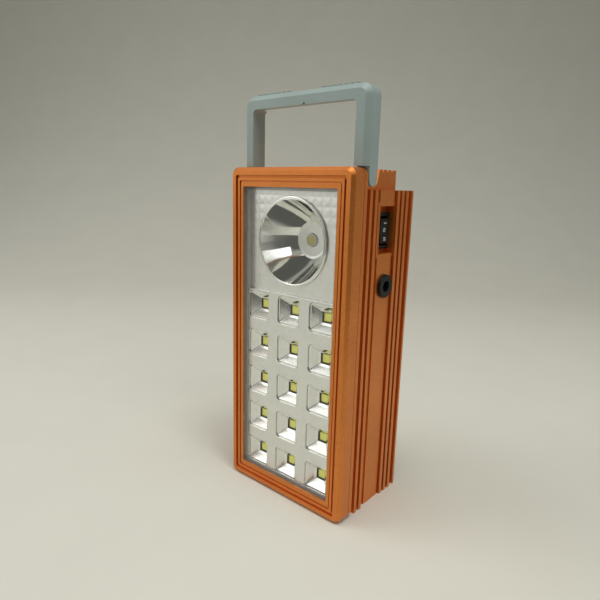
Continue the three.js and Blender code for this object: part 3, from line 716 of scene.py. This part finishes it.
# ---------------------------------------- rocker marks: one bar, a ring, two bars
def rocker_marks():
    """Raised pale marks that follow the rocker's two sloping faces."""
    low, high = in_mm("switch_rocker")
    cy, cz = (low.y + high.y) / 2, (low.z + high.z) / 2
    waist, peak, half = high.x - 0.6, high.x, (high.z - low.z) / 2 - 1

    def face_x(z):
        return waist + (peak - waist) * min(1, abs(z - cz) / half) + 0.02

    verts, faces = [], []

    def bar(y, z, wide, tall):
        start = len(verts)
        for lift in (-0.05, 0.05):
            for dy, dz in ((-1, -1), (1, -1), (1, 1), (-1, 1)):
                zz = z + dz * tall / 2
                verts.append((face_x(zz) + lift, y + dy * wide / 2, zz))
        for n in range(4):
            m = (n + 1) % 4
            faces.append((start + n, start + m, start + 4 + m, start + 4 + n))
        faces.append((start + 4, start + 5, start + 6, start + 7))

    bar(cy, cz + 3.9, 2.0, 0.5)
    for dz in (-3.4, -4.4):
        bar(cy, cz + dz, 2.0, 0.45)
    start = len(verts)
    sides = 24
    for i in range(sides):
        a = 2 * math.pi * i / sides
        for r, lift in ((0.6, -0.05), (0.6, 0.05), (1.0, 0.05), (1.0, -0.05)):
            y, z = cy + r * math.cos(a), cz + 0.5 + r * math.sin(a)
            verts.append((face_x(z) + lift, y, z))
    for i in range(sides):
        here, there = start + i * 4, start + (i + 1) % sides * 4
        for k in range(3):
            faces.append((here + k, here + k + 1, there + k + 1, there + k))
    return new_piece("rocker_marks", verts, faces, PALE_INK, "rocker", "black_plastic", smooth=False)


rocker_marks()


# ---------------------------------------- studio
# level direction in which the camera looks
TOWARD = Vector((-0.6507, 0.7593, 0))


def studio():
    """A pale sheet of paper: floor under the lantern that curves up into a wall behind it."""
    side = Vector((TOWARD.y, -TOWARD.x, 0))
    front, start, radius, width = 0.42, 0.55, 0.6, 3.2
    outline = [(-front, 0.0), (start, 0.0)]
    for i in range(1, 25):
        a = math.pi / 2 * i / 24
        outline.append((start + radius * math.sin(a), radius - radius * math.cos(a)))
    outline.append((start + radius, 2.6))
    verts = []
    for along, up in outline:
        for across in (-width, width):
            spot = TOWARD * along + side * across
            verts.append((spot.x, spot.y, up))
    faces = [(2 * i, 2 * i + 1, 2 * i + 3, 2 * i + 2) for i in range(len(outline) - 1)]
    mesh = bpy.data.meshes.new("sweep")
    mesh.from_pydata(verts, [], faces)
    mesh.shade_smooth()
    sweep = bpy.data.objects.new("sweep", mesh)
    scene.collection.objects.link(sweep)
    look = Look("sweep", Roughness=0.85)
    cloud = look.span(look.noise(60, 3, 0.5), 0.3, 0.7)
    look.set("Base Color", look.mix(cloud, shade(214, 213, 203), shade(217, 216, 206)))
    look.bump(look.noise(1.5, 3, 0.6), 0.03, 0.1)
    sweep.data.materials.append(look.material)


studio()


def softbox(name, place, aim, size, power, colour, spread):
    """A rectangular light, in metres and watts, that shines within spread degrees towards aim."""
    data = bpy.data.lights.new(name, "AREA")
    data.shape = "RECTANGLE"
    data.size, data.size_y = size
    data.energy = power
    data.spread = math.radians(spread)
    data.color = colour
    lamp_object = bpy.data.objects.new(name, data)
    scene.collection.objects.link(lamp_object)
    lamp_object.location = place
    lamp_object.rotation_euler = (Vector(aim) - Vector(place)).to_track_quat("-Z", "Y").to_euler()


softbox("overhead", (0.14, -0.2, 1.3), (0.08, -0.08, 0), (0.8, 0.8), 3.2, (1.0, 0.995, 0.955), 140)
softbox("high_right", (0.42, -0.13, 1.3), (0.04, -0.03, 0.15), (0.25, 0.25), 0.6, (1.0, 0.995, 0.955), 100)
softbox("upper_left", (-0.82, -0.5, 1.0), (0, 0, 0.1), (0.8, 0.9), 1.65, (1.0, 0.995, 0.97), 120)
softbox("left_front", (-0.9, -0.8, 0.55), (0, 0, 0.12), (0.8, 0.8), 1.2, (1.0, 1.0, 0.98), 140)
softbox("right", (0.95, -0.3, 0.95), (0, 0, 0.16), (0.7, 0.7), 0.95, (1.0, 1.0, 0.98), 100)


def room():
    """Soft light from all round, with the dark side of the room behind the viewer."""
    world = bpy.data.worlds.new("room")
    scene.world = world
    world.use_nodes = True
    tree = world.node_tree
    sky = tree.nodes["Background"]
    place = tree.nodes.new("ShaderNodeTexCoord").outputs["Generated"]
    split = tree.nodes.new("ShaderNodeSeparateXYZ")
    tree.links.new(place, split.inputs["Vector"])
    ramp = tree.nodes.new("ShaderNodeValToRGB")
    ramp.color_ramp.elements[0].color = (0.40, 0.40, 0.369, 1)
    ramp.color_ramp.elements[1].color = (0.345, 0.345, 0.32, 1)
    tree.links.new(split.outputs["Z"], ramp.inputs["Fac"])
    tree.links.new(ramp.outputs["Color"], sky.inputs["Color"])
    facing = tree.nodes.new("ShaderNodeVectorMath")
    facing.operation = "DOT_PRODUCT"
    facing.inputs[1].default_value = (-TOWARD.x, -TOWARD.y, 0)
    tree.links.new(place, facing.inputs[0])
    dim = tree.nodes.new("ShaderNodeMapRange")
    dim.interpolation_type = "SMOOTHSTEP"
    dim.inputs["From Min"].default_value = 0.66
    dim.inputs["From Max"].default_value = 0.86
    dim.inputs["To Min"].default_value = 1.0
    dim.inputs["To Max"].default_value = 0.14
    tree.links.new(facing.outputs["Value"], dim.inputs["Value"])
    tree.links.new(dim.outputs["Result"], sky.inputs["Strength"])


room()
